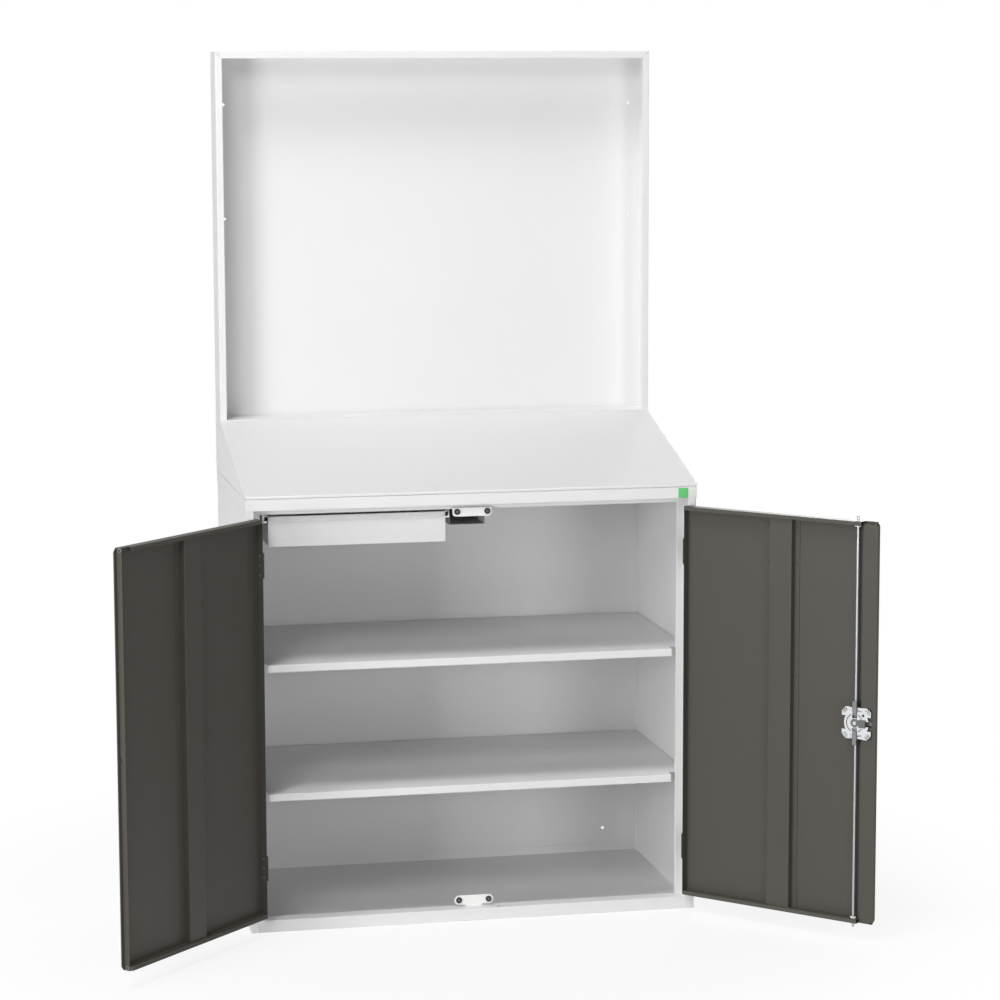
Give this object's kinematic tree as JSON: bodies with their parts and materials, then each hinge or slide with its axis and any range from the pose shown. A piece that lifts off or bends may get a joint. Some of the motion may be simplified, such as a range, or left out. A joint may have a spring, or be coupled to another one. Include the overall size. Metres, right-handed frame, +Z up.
{
  "type": "lectern cabinet",
  "caption": "Sheet steel lectern cabinet: sloped desk over a two-door cupboard with shelves and a hung drawer, tall framed panel behind, rod lock on the right door.",
  "frame": {"origin": "middle of the base, on the floor midway between the fascia front and the carcass back", "axes": "+X to the right seen from the front, +Y to the back, +Z up"},
  "size_m": [1.6965, 0.9273, 2],
  "materials": {
    "light_paint": "light grey powder coat, fine texture",
    "dark_paint": "dark grey-brown powder coat, fine texture",
    "zinc": "bright zinc plate",
    "bright_metal": "polished die casting",
    "rubber": "matt black rubber",
    "black_plastic": "fine grained black plastic",
    "white_plastic": "natural white plastic",
    "green_plastic": "plain green tag, no lettering"
  },
  "bodies": {
    "carcass": {"left_side": "light_paint", "right_side": "light_paint", "carcass_back": "light_paint", "floor_tray": "light_paint", "floor_stiffener": "light_paint", "top_cap": "light_paint", "top_stop_rail": "light_paint", "upper_shelf": "light_paint", "lower_shelf": "light_paint", "shelf_clips": "zinc", "drawer_bracket": "light_paint", "drawer_hanger": "dark_paint", "runner_fixed": "zinc", "lectern_spacer": "white_plastic", "lectern_desk": "light_paint", "lectern_riser": "light_paint", "back_panel": "light_paint", "tag": "green_plastic", "top_stop_plate": "light_paint", "bottom_stop_plate": "light_paint", "buffers": "rubber", "post_leaves": "dark_paint"},
    "drawer": {"drawer_box": "light_paint", "drawer_front": "light_paint", "runner_inner": "zinc"},
    "runner_slide": {"runner_middle": "zinc"},
    "left_door": {"left_door": "dark_paint", "left_stiffener": "dark_paint", "left_leaves": "dark_paint"},
    "right_door": {"right_door": "dark_paint", "right_stiffener": "dark_paint", "right_leaves": "dark_paint", "lock_case": "bright_metal", "lock_cover": "bright_metal", "rod_guides": "white_plastic", "handle_plate": "black_plastic"},
    "handle": {"lock_pinion": "zinc", "spindle": "zinc", "handle_grip": "black_plastic"},
    "key": {"key_plug": "bright_metal"},
    "upper_bolt": {"upper_rod": "zinc"},
    "lower_bolt": {"lower_rod": "zinc"},
    "latch": {"latch_tongue": "zinc"}
  },
  "joints": [
    {"name": "left_door_hinge", "type": "hinge", "parent": "carcass", "child": "left_door", "pos_m": [-0.5035, -0.2784, 0.5], "axis": [0, 0, -1], "range_deg": [-133.8, 36.2]},
    {"name": "right_door_hinge", "type": "hinge", "parent": "carcass", "child": "right_door", "pos_m": [0.5035, -0.2784, 0.5], "axis": [0, 0, 1], "range_deg": [-133.8, 36.2]},
    {"name": "drawer_slide", "type": "slide", "parent": "carcass", "child": "drawer", "axis": [0, -1, 0], "range_m": [0, 0.36]},
    {"name": "runner_slide", "type": "slide", "parent": "carcass", "child": "runner_slide", "axis": [0, -1, 0], "range_m": [0, 0.18]},
    {"name": "handle_turn", "type": "hinge", "parent": "right_door", "child": "handle", "pos_m": [0.81147, -0.60446, 0.5], "axis": [0.7218, 0.6921, 0], "range_deg": [-90, 0]},
    {"name": "key_turn", "type": "hinge", "parent": "handle", "child": "key", "pos_m": [0.82591, -0.59062, 0.5], "axis": [0.7218, 0.6921, 0], "range_deg": [-90, 0]},
    {"name": "upper_bolt_slide", "type": "slide", "parent": "right_door", "child": "upper_bolt", "axis": [0, 0, 1], "range_m": [0, 0.01414]},
    {"name": "lower_bolt_slide", "type": "slide", "parent": "right_door", "child": "lower_bolt", "axis": [0, 0, -1], "range_m": [0, 0.01414]},
    {"name": "latch_slide", "type": "slide", "parent": "right_door", "child": "latch", "axis": [0.6921, -0.7218, 0], "range_m": [0, 0.01414]}
  ],
  "couplings": [
    {"joint": "runner_slide", "follows": "drawer_slide", "ratio": 0.5},
    {"joint": "upper_bolt_slide", "follows": "handle_turn", "m_per_rad": -0.009},
    {"joint": "lower_bolt_slide", "follows": "handle_turn", "m_per_rad": -0.009},
    {"joint": "latch_slide", "follows": "handle_turn", "m_per_rad": -0.009}
  ]
}
